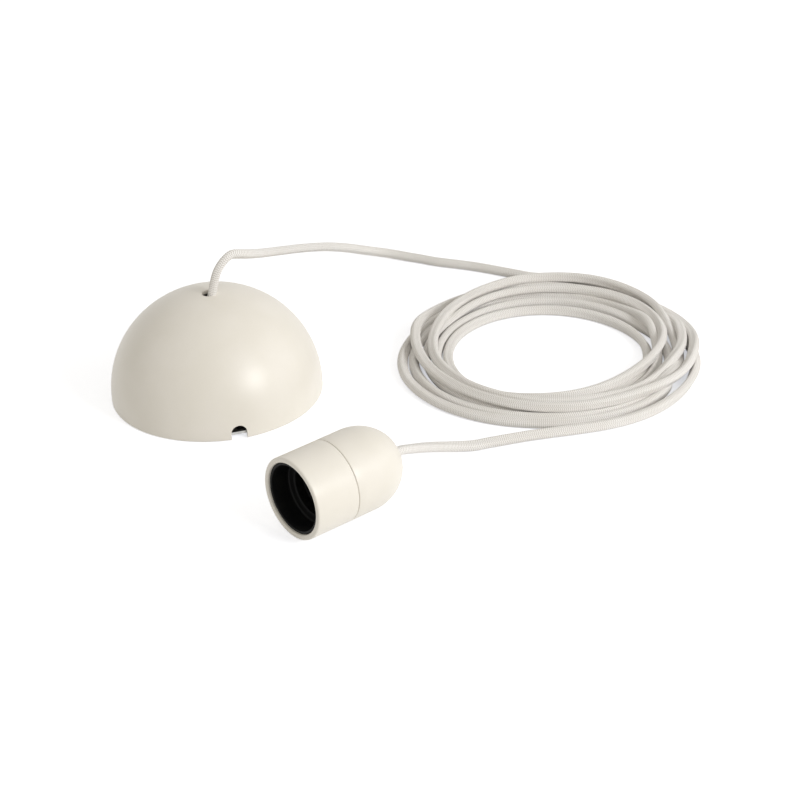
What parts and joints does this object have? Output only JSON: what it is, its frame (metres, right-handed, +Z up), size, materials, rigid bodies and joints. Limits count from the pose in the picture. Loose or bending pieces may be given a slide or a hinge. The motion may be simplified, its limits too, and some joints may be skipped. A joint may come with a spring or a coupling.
{
  "type": "pendant cord set",
  "caption": "Half-round ceiling canopy, textile cord in a loose coil and an E27 lampholder, laid on a table.",
  "frame": {"origin": "on the table, under the middle of the canopy and the lampholder together", "axes": "+Z up from the table; +Y from the lampholder to the canopy; the lampholder's axis along X with its mouth to -X"},
  "size_m": [0.312, 0.2626, 0.0852],
  "materials": {
    "cream_plastic": "satin",
    "black_plastic": "matte",
    "textile_cord": "braided textile sleeve",
    "steel": "zinc plated",
    "brass": "bright",
    "white_plastic": "satin",
    "brown_insulation": "satin",
    "blue_insulation": "satin"
  },
  "bodies": {
    "root": {"canopy_shell": "cream_plastic", "holder_sleeve": "cream_plastic", "holder_cap": "cream_plastic", "lamp_insert": "black_plastic", "cord_lead_canopy": "textile_cord", "cord_lead_holder": "textile_cord", "cord_coil": "textile_cord", "ceiling_plate": "steel", "clamp_bridge": "steel", "spring_clip_1": "steel", "spring_clip_2": "steel", "spring_clip_3": "steel", "clip_rivet_1": "steel", "clip_rivet_2": "steel", "clip_rivet_3": "steel", "bridge_rivet_1": "steel", "bridge_rivet_2": "steel", "canopy_clamp_screw_1": "steel", "canopy_clamp_screw_2": "steel", "holder_clamp_screw_1": "steel", "holder_clamp_screw_2": "steel", "holder_terminal_screw_1": "steel", "holder_terminal_screw_2": "steel", "terminal_screw_1": "steel", "terminal_screw_2": "steel", "terminal_screw_3": "steel", "terminal_screw_4": "steel", "terminal_tube_1": "brass", "terminal_tube_2": "brass", "centre_contact": "brass", "side_contact": "brass", "holder_terminal_1": "brass", "holder_terminal_2": "brass", "canopy_clamp_jaw_front": "white_plastic", "canopy_clamp_jaw_back": "white_plastic", "holder_clamp_jaw_front": "white_plastic", "holder_clamp_jaw_back": "white_plastic", "terminal_block": "white_plastic", "contact_carrier": "white_plastic", "canopy_wire_brown": "brown_insulation", "holder_wire_brown": "brown_insulation", "canopy_wire_blue": "blue_insulation", "holder_wire_blue": "blue_insulation"}
  },
  "joints": []
}
